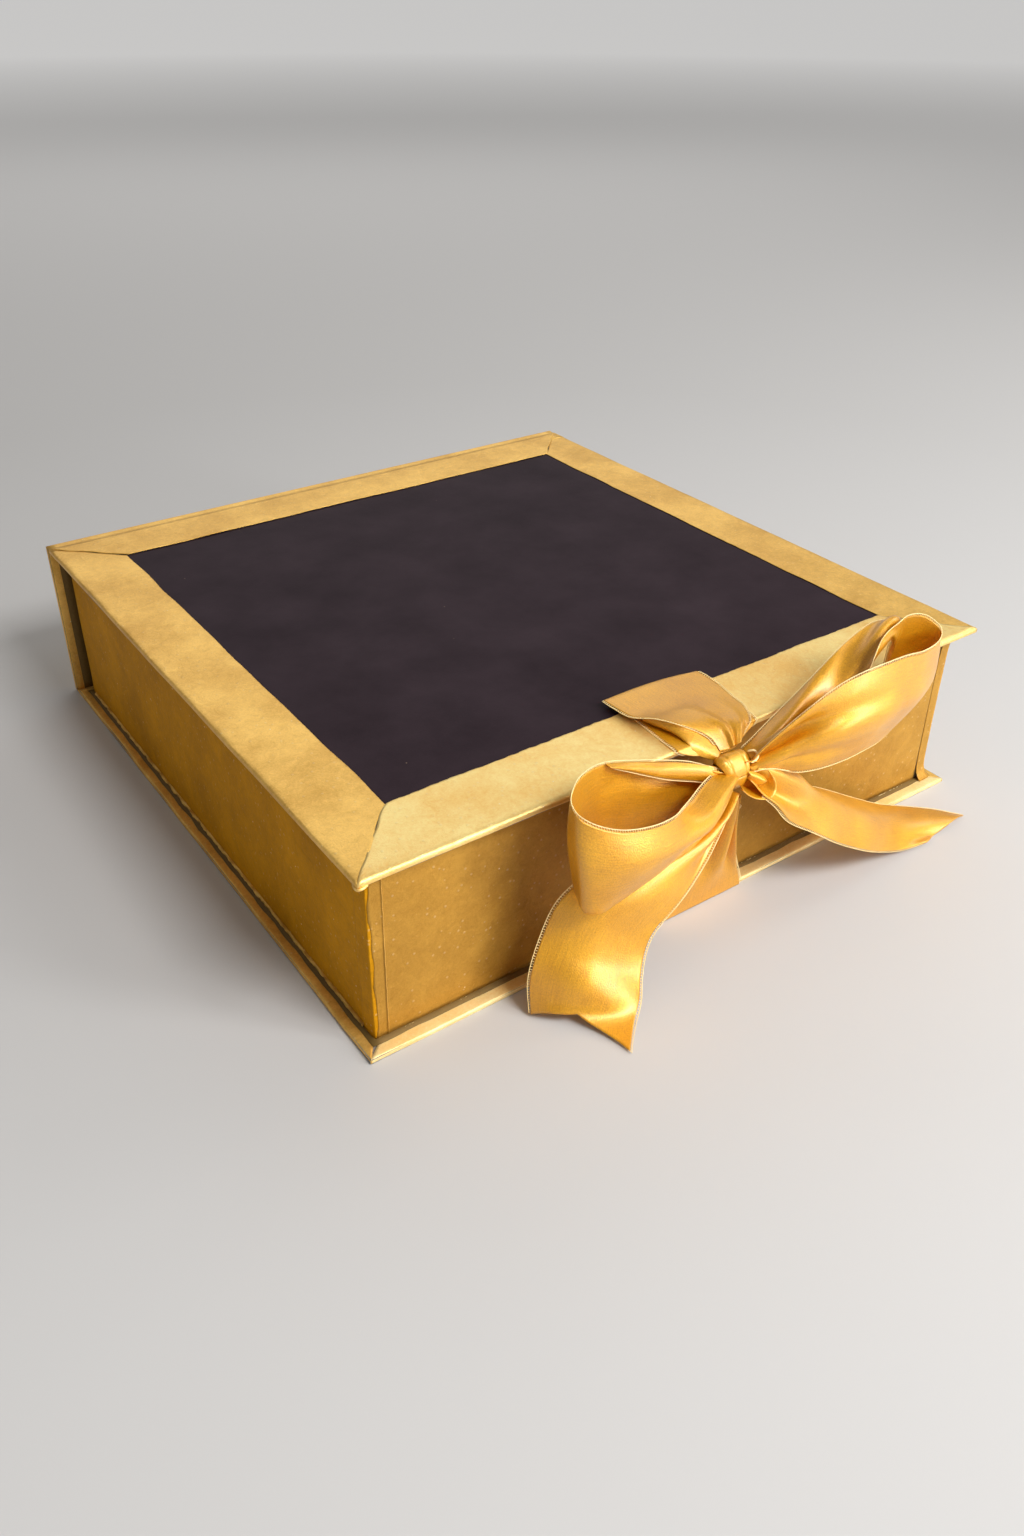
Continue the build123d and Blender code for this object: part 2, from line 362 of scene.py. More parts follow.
def flat_sheet(name, x0, x1, y0, y1, z, material, body, node, wave=0.06, seed=0.0, down=False, cut=0.0):
    """A paper lying flat, with a slight wave and a hand-cut outline."""
    rows = []
    for y in spread(y0, y1, 4):
        row = []
        for x in spread(x0, x1, 4):
            px = x + (ripple(y, 0, 9, cut, seed) if x in (x0, x1) else 0)
            py = y + (ripple(x, 0, 9, cut, seed + 2) if y in (y0, y1) else 0)
            row.append((px, py, z + ripple(x, y, 40, wave, seed)))
        rows.append(row)
    if down:
        rows.reverse()
    sheet_mesh(name, rows, material, body, 0.12, node=node)


# -------- wrapped boards
def edge_profile(depth_in, z_face, z_far, under, rounding=0.7):
    """From the inner edge of the face ply, over the board's edge and back under it: (inward, height)."""
    toward = 1 if z_face > z_far else -1
    points = [(d, z_face) for d in [depth_in, depth_in - 0.5] + spread(depth_in - 1.5, rounding, 1.6)]
    for k in range(1, 5):
        turn = math.radians(90 * k / 4)
        points.append((rounding - rounding * math.sin(turn),
                       z_face - toward * rounding * (1 - math.cos(turn))))
    points += [(0, z) for z in spread(z_face - toward * rounding, z_far + toward * rounding, 0.8)[1:]]
    for k in range(1, 5):
        turn = math.radians(90 * k / 4)
        points.append((rounding - rounding * math.cos(turn),
                       z_far + toward * rounding * (1 - math.sin(turn))))
    points += [(d, z_far) for d in spread(rounding, under, 3)[1:]]
    return points


def border_strip(name, side, body, case, depth, neighbours, z_face, z_far, under, lift, seed, node=None,
                 ragged=0.12, puff=1.0):
    """A hand-cut gold strip along one side of a board, mitred to its neighbours at both ends."""
    before, after = neighbours
    along_x = side in ("front", "back")
    start, end = (case.x0, case.x1) if along_x else (case.y0, case.y1)
    toward = 1 if z_face > z_far else -1
    rows = []
    for step, (inward, z) in enumerate(edge_profile(depth, z_face, z_far, under)):
        sway = min(1, inward / 6)
        first = start + inward * before / depth + ripple(inward, seed, 9, 2.4, seed) * sway
        last = end - inward * after / depth + ripple(inward, seed + 5, 9, 2.4, seed) * sway
        on_face = abs(z - z_face) < 0.01
        row = []
        for s in spread(0, 1, 1 / 190):
            place = first + (last - first) * s
            wander = ripple(place, seed, 19, 0.45, 2.0) + ripple(place, seed, 2.2, ragged, 4.0)
            cut = wander if step == 0 else wander * 0.6 if step == 1 else 0
            edge_wave = ripple(place, seed, 30, 0.35, 8.0) if inward < 1 else 0
            raised = 0.0
            if on_face:
                blister = abs(ripple(place, inward, 20, 0.22, seed))
                blister += abs(ripple(place, inward, 7, 0.07, seed + 3))
                raised = lift + blister * puff
            out = inward + cut + max(edge_wave, -0.2)
            x, y = {"front": (place, case.y0 + out), "back": (place, case.y1 - out),
                    "left": (case.x0 + out, place), "right": (case.x1 - out, place)}[side]
            row.append((x, y, z + toward * raised))
        rows.append(row)
    if (side in ("front", "right")) != (z_face < z_far):
        rows = [row[::-1] for row in rows]
    # The front strips take the lighter copies of the gold paper: painted light.
    paper_used = gold if side != "front" else lit_front_gold if node else lit_pale_gold
    sheet_mesh(name, rows, paper_used, body, 0.14, node=node)


sides = {"front": (border.front, (border.left, border.right)),
         "back": (border.back, (border.left, border.right)),
         "left": (border.left, (border.front, border.back)),
         "right": (border.right, (border.front, border.back))}
for number, (side, (depth, neighbours)) in enumerate(sides.items()):
    over = 0.16 if side in ("front", "back") else 0.0
    border_strip("lid_border_paper_" + side, side, "lid", lid, depth, neighbours,
                 lid.z1 - 0.04, lid.z0, turn_in, over, number * 7.3 + 1, "lid_border_" + side,
                 ragged=0.35 if side == "front" else 0.12)
    border_strip("base_border_paper_" + side, side, "box", base, turn_in, (turn_in, turn_in),
                 base.z1, base.z0, turn_in, 0.0, number * 5.1 + 40, puff=0.4)

margin = 3.0
flat_sheet("lid_panel", lid.x0 + border.left - margin, lid.x1 - border.right + margin,
           lid.y0 + border.front - margin, lid.y1 - border.back + margin,
           panel_z - 0.1, plum, "lid", "lid_panel_paper", 0.05, 3.0)
flat_sheet("base_underside", base.x0 + turn_in - 1, base.x1 - turn_in + 1, base.y0 + turn_in - 1,
           base.y1 - turn_in + 1, base.z0 + 0.15, gold, "box", "base_cover", 0, 1.0, down=True)


def lining_sheet(name, node, body, z, down=False, inset=0.0):
    """A lining paper in place of its CAD sheet, with a hand-cut outline."""
    size = extent(node)
    flat_sheet(name, size.x0 + inset, size.x1 - inset, size.y0 + inset, size.y1 - inset,
               z, lining, body, node, 0.03, len(name), down, cut=0.5)


flat_sheet("base_lining", base.x0 + 3.1, base.x1 - 3.1, base.y0 + 4.1, base.y1 - 3.5,
           liner_z + 0.04, lining, "box", "base_liner", 0.03, 9.0, cut=0.5)
lining_sheet("lid_lining", "lid_liner", "lid", extent("lid_liner").z0, down=True)
lining_sheet("tray_floor_paper", "tray_floor_lining", "box", extent("tray_floor_lining").z1, inset=0.1)


# -------- tray papers

def rim_profile(foot, top, bend=0.5):
    """Up a wall's outer face and over its rim: (inward, height)."""
    points = [(0.0, z) for z in spread(foot, top - bend, 1.5)]
    for k in range(1, 4):
        turn = math.radians(90 * k / 3)
        points.append((bend - bend * math.cos(turn), top - bend + bend * math.sin(turn)))
    points += [(bend + (wall - bend) * k / 2, top) for k in (1, 2)]
    return points


# Wall papers default to a darker copy of the gold paper: painted shade.
def wall_paper(name, path, node, flare=None, material=shaded_wall_gold):
    """Paper on a tray wall. The path gives (x, y, outward x, outward y) along the wall's foot."""
    rows = []
    for inward, z in rim_profile(liner_z + 0.1, tray.z1):
        row = []
        for x, y, nx, ny in path:
            out = -inward
            if inward == 0:
                out += ripple(x + y, z, 26, 0.12, len(name)) + ripple(x - y, z, 6, 0.03, 3.0)
                out += flare(x, y, z) if flare else 0
            row.append((x + nx * out, y + ny * out, z))
        rows.append(row)
    rows.reverse()
    sheet_mesh(name, rows, material, "box", 0.15, node=node)


def corner(cx, cy, radius, start, stop, steps=6):
    """Points round a tray corner with their outward directions; angles in degrees."""
    found = []
    for k in range(steps + 1):
        angle = math.radians(start + (stop - start) * k / steps)
        nx, ny = math.cos(angle), math.sin(angle)
        found.append((cx + nx * radius, cy + ny * radius, nx, ny))
    return found


def tube(name, path, radius, material, body):
    """A thin eight-sided rod along a path, narrowed at both ends."""
    rows = []
    last = len(path) - 1
    for k, point in enumerate(path):
        ahead = (Vector(path[min(k + 1, last)]) - Vector(path[max(k - 1, 0)])).normalized()
        side = ahead.cross(Vector((0.3, 0.9, 0.2))).normalized()
        up = ahead.cross(side)
        size = radius * (0.35 if k in (0, last) else 1)
        row = []
        for turned in range(0, 360, 45):
            angle = math.radians(turned)
            row.append(tuple(Vector(point) + (side * math.cos(angle) + up * math.sin(angle)) * size))
        rows.append(row)
    sheet_mesh(name, rows, material, body, 0, closed=True)


def lap_line(z):
    """Where the covering paper laps near the front wall's left end."""
    return tray.x0 + 4.9 + (z - 35) * 0.012


def front_wall():
    """The front wall's own paper, with a wavy left edge and a raised lap line beside it."""
    xs = [tray.x0 + 0.9] + spread(tray.x0 + 1.6, tray.x0 + 3.9, 0.5)
    xs += spread(tray.x0 + 4.1, tray.x0 + 5.8, 0.12)
    xs += spread(tray.x0 + 8, tray.x1 - 6, 2.5) + [tray.x1 - 5.35]
    rows = []
    for inward, z in rim_profile(liner_z + 0.1, tray.z1):
        row = []
        for k, x in enumerate(xs):
            shift = ripple(z, 4, 7, 0.9, 2.0) + ripple(z, 1, 2.5, 0.3, 5.0) if k == 0 else 0
            out = 0.18 - inward
            if inward == 0:
                out += ripple(x, z, 26, 0.12, 4.0) + 0.32 * bell(x, lap_line(z), 0.28)
            row.append((x + shift, tray.y0 - out, z))
        rows.append(row)
    # The front wall's paper is a darker copy of the gold: painted shade.
    sheet_mesh("tray_paper_front", rows, shaded_wall_gold, "box", 0.15, node="tray_cover_front")
    # A thin rod of the lighter gold along the lap line: a raised paper edge with a painted highlight.
    line = [(lap_line(z) + ripple(z, 0, 3, 0.15, 7.0), tray.y0 - 0.52, z)
            for z in spread(liner_z + 1.5, tray.z1 - 1.5, 1.2)]
    tube("front_seam_highlight", line, 0.11, gold, "box")


front_wall()
left_path = [(x, tray.y0, 0, -1) for x in (tray.x0 + wrap, tray.x0 + wrap - 1.2)]
left_path += corner(tray.x0 + turn, tray.y0 + turn, turn, 270, 180)
left_path += [(tray.x0, y, -1, 0) for y in spread(tray.y0 + 2, tray.y0 + 6.4, 0.5)]
left_path += [(tray.x0, y, -1, 0) for y in [tray.y0 + 6.55] + spread(tray.y0 + 8, tray.y1 - 2, 2.5)]
left_path += corner(tray.x0 + turn, tray.y1 - turn, turn, 180, 90)
left_path += [(x, tray.y1, 0, 1) for x in (tray.x0 + wrap - 1.2, tray.x0 + wrap)]
# The left wall's paper is the darkest copy of the gold: painted shade.
wall_paper("tray_paper_left", left_path, "tray_cover_left", material=shade_gold,
           flare=lambda x, y, z: 0.3 if tray.y0 + 1.7 < y < tray.y0 + 6.45 and x < tray.x0 + 0.3 else 0)


def flared(x, y, z):
    """The right corner strip runs out to the lid above and to the base below in a hollow curve."""
    near = max(0.0, 1 - max(0.0, y - tray.y0 - 1.0) / 7) if x > tray.x1 - 5 else 0
    return near * (2.6 * math.exp((z - tray.z1) / 2.4) + 3.2 * math.exp((liner_z - z) / 2.2))


right_path = [(x, tray.y0, 0, -1) for x in spread(tray.x1 - wrap - 0.1, tray.x1 - turn, 0.5)]
right_path += corner(tray.x1 - turn, tray.y0 + turn, turn, 270, 360, 8)
right_path += [(tray.x1, y, 1, 0) for y in spread(tray.y0 + 2, tray.y0 + 10, 1)]
right_path += [(tray.x1, y, 1, 0) for y in spread(tray.y0 + 12, tray.y1 - 2, 3)]
right_path += corner(tray.x1 - turn, tray.y1 - turn, turn, 0, 90)
right_path += [(x, tray.y1, 0, 1) for x in (tray.x1 - wrap + 1.2, tray.x1 - wrap)]
right_path.reverse()
wall_paper("tray_paper_right", right_path, "tray_cover_right", flare=flared)
back_path = [(x, tray.y1, 0, 1) for x in spread(tray.x0 + 5, tray.x1 - 5, 2.5)]
wall_paper("tray_paper_back", back_path, "tray_cover_back")


def wall_lining():
    """One strip of lining round the inside of the tray, lapped in a back corner."""
    size = extent("tray_wall_lining")
    loop = []
    inset = 0.2
    corners = [(size.x0 + inset, size.y0 + inset), (size.x1 - inset, size.y0 + inset),
               (size.x1 - inset, size.y1 - inset), (size.x0 + inset, size.y1 - inset)]
    for (ax, ay), (bx, by) in zip(corners, corners[1:] + corners[:1]):
        for s in spread(0, 1, 1 / 60)[:-1]:
            loop.append((ax + (bx - ax) * s, ay + (by - ay) * s))
    rows = [[(x, y, z) for x, y in loop] for z in spread(size.z0, size.z1 - 0.4, 4)]
    rows.reverse()
    sheet_mesh("tray_wall_paper", rows, lining, "box", 0.15, closed=True, node="tray_wall_lining")


wall_lining()


def foot_ledge():
    """The light torn edge of the wall paper, turned out on the base along the left wall's foot."""
    rows = []
    for y in spread(tray.y0 + 6.5, tray.y1 - 3, 0.8):
        reach = 0.8 + ripple(y, 0, 5, 0.4, 6.0) + ripple(y, 0, 1.7, 0.25, 9.0)
        high = liner_z + 1.2 + ripple(y, 0, 6, 0.5, 2.0)
        rows.append([(tray.x0 - 0.1, y, high), (tray.x0 - 0.5, y, high - 0.5),
                     (tray.x0 - reach * 0.7, y, liner_z + 0.7), (tray.x0 - reach, y, liner_z + 0.25)])
    rows.reverse()
    sheet_mesh("left_foot_ledge", rows, gold, "box", 0.12)


foot_ledge()


def glue_specks():
    """Small shiny beads of dried glue in the seam at the foot of the front wall."""
    chance = random.Random(5)
    line = tray.y0 - 0.55
    points, faces = [], []
    places = [chance.uniform(tray.x0 + 4, tray.x1 - 4) for _ in range(12)]
    for _ in range(46):
        x = chance.choice(places) + chance.gauss(0, 2.5)
        size = chance.uniform(0.12, 0.34)
        start = len(points)
        for k in range(6):
            angle = math.radians(60 * k)
            points.append((x + size * 2 * math.cos(angle), line + size * math.sin(angle), liner_z + 0.02))
        points.append((x, line, liner_z + size * 1.3))
        faces += [(start + k, start + (k + 1) % 6, start + 6) for k in range(6)]
        faces.append(tuple(start + 5 - k for k in range(6)))
    mesh_object("glue_specks", points, faces, glue, "box")


glue_specks()


# -------- spine and hinges
def spine_papers():
    """Outer paper with eased long edges and ends turned onto the inner face; lining inside."""
    out, inner = spine.y1, spine.y0
    rows = []
    for x in spread(spine.x0, spine.x1, 3):
        ends = min(1, (x - spine.x0) / 1.2, (spine.x1 - x) / 1.2)
        ease = 0.08 * (1 - ends)
        section = []
        for z in spread(spine.z0 + 0.6, spine.z1 - 0.6, 2.5):
            section.append((x, out - ease - 0.05 + ripple(x, z, 30, 0.05, 3.0), z))
        section = [(x, inner + 0.3, spine.z0 + 0.05), (x, out - 0.7, spine.z0 + 0.05),
                   (x, out - 0.2 - ease, spine.z0 + 0.25)] + section
        section += [(x, out - 0.2 - ease, spine.z1 - 0.25), (x, out - 0.7, spine.z1 - 0.05),
                    (x, inner + 0.3, spine.z1 - 0.05)]
        rows.append(section)
    sheet_mesh("spine_paper", rows, gold, "spine", 0.15, node="spine_cover")
    for name, x_end, way in (("spine_turn_in_left", spine.x0, 1), ("spine_turn_in_right", spine.x1, -1)):
        rows = []
        for z in spread(spine.z0 + 0.1, spine.z1 - 0.1, 1.5):
            edge = turn_in + ripple(z, way, 8, 0.5, 3.0)
            rows.append([(x_end + way * 0.05, out - 0.4, z), (x_end + way * 0.1, inner + 0.6, z),
                         (x_end + way * 0.6, inner + 0.12, z), (x_end + way * 5, inner + 0.1, z),
                         (x_end + way * edge, inner + 0.1, z)])
        if way > 0:
            rows.reverse()
        sheet_mesh(name, rows, gold, "spine", 0.12)
    size = extent("spine_liner")
    rows = [[(x, size.y0 + 0.05, z) for x in spread(size.x0, size.x1, 3)]
            for z in spread(size.z0, size.z1, 3)]
    sheet_mesh("spine_lining", rows, lining, "spine", 0.12, node="spine_liner")


spine_papers()


def hinge_paper(name, node, path):
    """Paper that crosses a joint; the path is its section across the joint."""
    rows = [[(x, y + ripple(x, y, 24, 0.06, 1.0), z) for x in spread(base.x0 + 0.1, base.x1 - 0.1, 4)]
            for y, z in path]
    made = sheet_mesh(name, rows, gold, None)
    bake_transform(made)
    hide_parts(node)


top, low = lid.z1, base.z0
upper_path = [(lid.y1 - 8, top), (lid.y1 - 4, top), (lid.y1 - 0.5, top), (lid.y1 + 0.7, top - 0.25),
              (lid.y1 + 2.2, top - 0.3), (lid.y1 + 3.4, top - 0.05), (spine.y1 - 0.9, top - 0.1),
              (spine.y1 - 0.25, top - 0.45), (spine.y1 + 0.02, top - 1.2), (spine.y1 + 0.05, top - 3),
              (spine.y1 + 0.05, top - 9)]
hinge_paper("upper_hinge", "hinge_cloth_upper", upper_path)
lower_path = [(base.y1 - 8, low + 0.1), (base.y1 - 0.5, low + 0.1), (base.y1 + 0.8, low + 0.3),
              (base.y1 + 2.4, low + 0.3), (spine.y1 - 0.9, low + 0.1), (spine.y1 - 0.25, low + 0.45),
              (spine.y1 + 0.02, low + 1.2), (spine.y1 + 0.05, low + 3), (spine.y1 + 0.05, low + 9)]
hinge_paper("lower_hinge", "hinge_cloth_lower", lower_path[::-1])

for name in ("base_board", "spine_board", "lid_board", "tray_floor", "tray_wall_front", "tray_wall_back",
             "tray_wall_left", "tray_wall_right"):
    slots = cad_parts[name].data.materials
    slots.clear()
    slots.append(board)


# -------- ribbons
def curve(points, at):
    """A smooth curve through points; at runs from 0 to len(points) - 1."""
    k = min(int(at), len(points) - 2)
    t = at - k
    before, one, two, after = (points[max(0, min(len(points) - 1, k + j))] for j in (-1, 0, 1, 2))
    return tuple(0.5 * (2 * b + (c - a) * t + (2 * a - 5 * b + 4 * c - d) * t * t
                        + (3 * b - a - 3 * c + d) * t ** 3)
                 for a, b, c, d in zip(before, one, two, after))


def normal_at(grid, r, c):
    """The surface's direction at one point of a grid."""
    row = grid[r]
    ahead = grid[min(r + 1, len(grid) - 1)][c] - grid[max(r - 1, 0)][c]
    normal = ahead.cross(row[min(c + 1, len(row) - 1)] - row[max(c - 1, 0)])
    return normal.normalized() if normal.length > 1e-9 else normal


def ribbon_grid(stations, fine=7, wide=30, fold=None, cut=None):
    """Points of a ribbon: each station lists points across it, and fold(u, v) lifts the surface in mm."""
    count = len(stations)
    across = len(stations[0])
    rails = [[station[j] for station in stations] for j in range(across)]
    steps = [k / fine for k in range((count - 1) * fine + 1)]
    grid = []
    for step in steps:
        row = []
        for c in range(wide + 1):
            v = c / wide
            at = step
            if cut:
                at -= cut(v) * max(0.0, (step / (count - 1) - 0.7) / 0.3)
            keys = [Vector(curve(rail, at)) for rail in rails]
            row.append(Vector(curve(keys, v * (across - 1))))
        grid.append(row)
    if not fold:
        return grid
    last = len(grid) - 1
    return [[point + normal_at(grid, r, c) * fold(r / last, c / wide) for c, point in enumerate(row)]
            for r, row in enumerate(grid)]


def gathered(grid, waves, phase, full=34.0, limit=27, drift=0.6):
    """Pleats deep enough that the ribbon keeps its woven width where it is drawn narrow."""
    count, wide = len(grid), len(grid[0]) - 1
    depth = []
    for row in grid:
        chord = sum((b - a).length for a, b in zip(row, row[1:]))
        more = max(0.0, full / max(chord, 1e-6) - 1) * min(1.0, max(0.0, (limit - chord) / 7))
        slope = math.sqrt(4 * more + 2.4 * more * more)
        depth.append(min(3.0, slope * chord / (2 * math.pi * waves)))
    reach = 4
    for _ in range(2):
        near = [depth[max(0, k - reach):k + reach + 1] for k in range(count)]
        depth = [sum(some) / len(some) for some in near]
    lifted = []
    for r, row in enumerate(grid):
        u = r / (count - 1)
        new = []
        for c, point in enumerate(row):
            v = c / wide
            turn = 2 * math.pi * waves * (v + 0.05 * math.sin(2 * math.pi * v + phase)) + phase + drift * u
            new.append(point + normal_at(grid, r, c) * depth[r] * math.sin(turn))
        lifted.append(new)
    return lifted


def lengths(grid):
    """Length run along the middle of a ribbon grid, row by row."""
    middle = len(grid[0]) // 2
    run = [0.0]
    for one, two in zip(grid, grid[1:]):
        run.append(run[-1] + (two[middle] - one[middle]).length)
    return run


def picots(name, edges, body, pitch=0.9, reach=0.85, thread=0.12):
    """The ladder selvage: rungs of thread out to a fine cord, along each given (edge, inner) pair."""
    points, faces = [], []
    for edge, inner in edges:
        travelled, due = 0.0, pitch
        cord = []
        for k in range(1, len(edge)):
            step = (edge[k] - edge[k - 1]).length
            while travelled + step >= due and step > 0:
                t = (due - travelled) / step
                spot = edge[k - 1].lerp(edge[k], t)
                out = (spot - inner[k - 1].lerp(inner[k], t)).normalized()
                cord.append((spot, out, (edge[k] - edge[k - 1]).normalized()))
                due += pitch
            travelled += step
        ring = []
        for spot, out, ahead in cord:
            up = out.cross(ahead).normalized()
            tip = spot + out * reach
            start = len(points)
            for a, b in ((1, 1), (-1, 1), (-1, -1), (1, -1)):
                points.append(tip + out * (a * thread) + up * (b * thread))
            ring.append(start)
            foot = len(points)
            for p in (spot - out * 0.15, tip):
                for a, b in ((1, 1), (-1, 1), (-1, -1), (1, -1)):
                    points.append(p + ahead * (a * thread * 0.8) + up * (b * thread * 0.8))
            faces += [(foot + k, foot + (k + 1) % 4, foot + 4 + (k + 1) % 4, foot + 4 + k) for k in range(4)]
            faces.append((foot + 3, foot + 2, foot + 1, foot))
            faces.append((foot + 4, foot + 5, foot + 6, foot + 7))
        for one, two in zip(ring, ring[1:]):
            faces += [(one + k, one + (k + 1) % 4, two + (k + 1) % 4, two + k) for k in range(4)]
        if ring:
            faces.append((ring[0] + 3, ring[0] + 2, ring[0] + 1, ring[0]))
            faces.append(tuple(ring[-1] + k for k in range(4)))
    return mesh_object(name, points, faces, lit_thread_gold, body)


def ribbon(name, stations, body, node, fold=None, cut=None, fine=7, wide=44,
           skip=(0.0, 1.0), pleats=None):
    """A satin ribbon through its stations, with a picot selvage on each edge."""
    grid = ribbon_grid(stations, fine, wide, fold, cut)
    if pleats:
        grid = gathered(grid, *pleats)
    run = lengths(grid)
    uvs = [(along * MM, 0.038 * c / wide) for along, row in zip(run, grid) for c in range(wide + 1)]
    made = sheet_mesh(name, grid, ribbon_satin, body, 0.28, uvs=uvs, offset=0.0)
    part = grid[int(skip[0] * len(grid)):max(2, int(skip[1] * len(grid)))]
    pairs = [([row[outer] for row in part], [row[inner] for row in part])
             for outer, inner in ((0, 1), (-1, -2))]
    with_pieces = [picots(name + "_picots", pairs, body)]
    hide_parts(node)


def scrap(name, stations, body, wide, fine=6, along=0.5, across=0.6):
    """A short loose stretch of satin, without its selvage."""
    grid = ribbon_grid(stations, fine, wide)
    uvs = [(r * along * MM, c * across * MM) for r in range(len(grid)) for c in range(wide + 1)]
    return sheet_mesh(name, grid, ribbon_satin, body, 0.25, uvs=uvs, offset=0.0)


def arched(pairs, rise):
    """Stations from edge pairs, with a middle point set off by each pair's own vector."""
    made = []
    for (one, two), (dx, dy, dz) in zip(pairs, rise):
        one, two = Vector(one), Vector(two)
        made.append([tuple(one), tuple(one.lerp(two, 0.5) + Vector((dx, dy, dz))), tuple(two)])
    return made


def left_loop():
    """An open band, its back ply against the lid's edge, its front ply swung out and curled under below."""
    top = [(-4, -139.5, 63), (-9, -137.3, 64.5), (-16.5, -135.5, 67.5), (-26.5, -134.6, 71),
           (-37, -134.6, 75), (-51, -136.2, 80.3), (-62, -140, 82.3), (-69.3, -145, 81.4),
           (-71.4, -148.5, 80), (-70.8, -152, 78.2), (-66.4, -155.3, 75.4), (-59, -157.2, 72.2),
           (-49, -157.3, 69.4), (-39, -155, 66.8), (-30, -151, 64.2), (-22, -147.5, 62),
           (-13, -144.3, 63), (-4, -141.5, 63.5)]
    crest = [(-4, -139.5, 57), (-9.5, -138, 49), (-16, -136.5, 43), (-26, -135.5, 43),
             (-36, -135.5, 46), (-49.5, -137, 51), (-60, -140.6, 51), (-67.5, -145, 50),
             (-68.3, -148, 46.4), (-67.6, -151, 42.6), (-63.2, -153.2, 42), (-56, -153.2, 43.8),
             (-47.8, -152.2, 45.2), (-38.8, -151, 46.4), (-28.6, -148.5, 46), (-18.5, -145.5, 46.6),
             (-9.5, -142.6, 51), (-4, -141, 57)]
    under = [(-4, -139.5, 55), (-9.5, -138, 45), (-15.5, -136.5, 35), (-25, -135.5, 34),
             (-35.5, -135.5, 37), (-49, -137, 43), (-59.5, -141, 44), (-65, -144.5, 43.5),
             (-65, -146.4, 42.5), (-63, -148, 42.5), (-59, -149, 44.5), (-53, -148.5, 46),
             (-45.5, -147, 47.4), (-37, -146, 48), (-27.5, -144.8, 47), (-18, -143.4, 46),
             (-9.5, -141.8, 49.5), (-4, -140.6, 56)]
    swell = [0, 0.6, 1.0, 1.0, 0.8, 0.4, 0, -0.6, -1.2, -2.2, -3.4, -4.2, -4.4, -4.0, -3.2, -2.2, -1.2, -0.4]
    stations = []
    for k, (one, three, four) in enumerate(zip(top, crest, under)):
        side = -1.6 if 6 < k < 10 else 0
        upper = Vector(one).lerp(Vector(three), 0.36) + Vector((side, swell[k], 0))
        lower = Vector(one).lerp(Vector(three), 0.72) + Vector((side * 0.8, swell[k] * 0.8, 0))
        stations.append([one, tuple(upper), tuple(lower), three, four])

    def fold(u, v):
        front = bell(u, 0.87, 0.09)
        return (-1.3 * front * bell(v, 0.30, 0.08)
                - 1.4 * bell(u, 0.17, 0.09) * bell(v, 0.14, 0.09)
                + 0.5 * math.sin(11 * u + 4 * v) * math.sin(math.pi * v))

    ribbon("left_loop", stations, "box", "bow_loop_left", fold=fold,
           pleats=(2.0, 0.6))


def left_loop_turnover():
    """Beside the knot the back ply's top edge is folded forward, showing as a light band."""
    edge = [(-50, -136.3, 80), (-43, -135.6, 77.6), (-36, -135.4, 74.9), (-26.5, -135.6, 71.1),
            (-16.5, -136.6, 67.7), (-9, -138.4, 64.9), (-4, -139.9, 63.6)]
    drop = [0.6, 2.2, 3.6, 5.0, 5.6, 5.4, 4.4]
    stations = [[(x, y, z + 0.2), (x + 0.4, y - 1.3, z - 0.25 * d), (x + 0.6, y - 1.7, z - 0.65 * d),
                 (x + 0.8, y - 1.5, z - d)] for (x, y, z), d in zip(edge, drop)]
    grid = ribbon_grid(stations, 8, 14)
    run = lengths(grid)
    uvs = [(along * MM, c * 0.4 * MM) for along in run for c in range(15)]
    sheet_mesh("left_loop_turnover", grid, ribbon_satin, "box", 0.22, uvs=uvs, offset=0.0)
    selvage = [([row[-1] for row in grid], [row[-2] for row in grid])]
    picots("left_loop_turnover_picots", selvage, "box", reach=0.6)


def right_loop():
    """A cone of ribbon, its mouth up and to the right; the front ply faces forward."""
    pairs = [
        ((5, -139, 65.5), (5, -140, 60)), ((12, -138, 69), (11, -142.5, 60)),
        ((24.4, -136.4, 74.6), (18, -145, 58)), ((36.2, -135.4, 80.6), (23, -147, 58.5)),
        ((50.6, -134.6, 88.2), (32, -148.5, 63)), ((61.8, -134.5, 92), (41, -149.5, 75)),
        ((71, -134.6, 91.8), (48.8, -149.8, 88)), ((77.6, -134.4, 88.6), (55.5, -148, 93)),
        ((76.5, -133.2, 70.5), (64, -144.5, 94.8)), ((77.5, -133.8, 61), (73, -140.8, 94.4)),
        ((79.5, -135.5, 56), (82, -141, 92)), ((77, -140.5, 54), (87.5, -144, 87)),
        ((69.8, -146, 55.6), (84, -147, 84.3)), ((58.4, -150, 56.6), (70, -152, 87)),
        ((49.4, -152, 57.8), (57.4, -154.2, 90)), ((38.5, -153, 58.4), (47, -155, 91)),
        ((27.5, -152, 58.4), (37, -154.6, 90.8)), ((19, -149.3, 58.6), (28.5, -152.6, 88)),
        ((12.6, -145, 59.6), (20, -149.4, 82.5)), ((8, -142, 60), (12, -145.2, 74)),
        ((5, -140.5, 60), (5.5, -141.6, 66)),
    ]
    rise = [(0, 0, 0), (0, 0, 0.8), (-0.8, 0, 2), (-1.5, 0, 2.4), (-2, 0, 2.4), (-2, 0, 2.2),
            (-1.5, 0.5, 2), (0, 1, 1.5), (0.8, 1, 1), (2, 1.5, 0.5), (3.4, 1.5, 0), (5, 0, 0),
            (6, -1.6, 0), (5, -3.2, 0), (2.5, -4, 0), (1, -4.2, 0), (0, -4.2, 0), (0, -3.8, 0),
            (0, -2.6, 0), (0, -1.6, 0), (0, -0.5, 0)]

    def fold(u, v):
        front = bell(u, 0.88, 0.12)
        return 2.2 * front * bell(v, 0.66, 0.1) + 1.4 * front * bell(v, 0.25, 0.08)

    ribbon("right_loop", arched(pairs, rise), "box", "bow_loop_right",
           fold=fold, pleats=(1.3, 2.2, 40, 29))


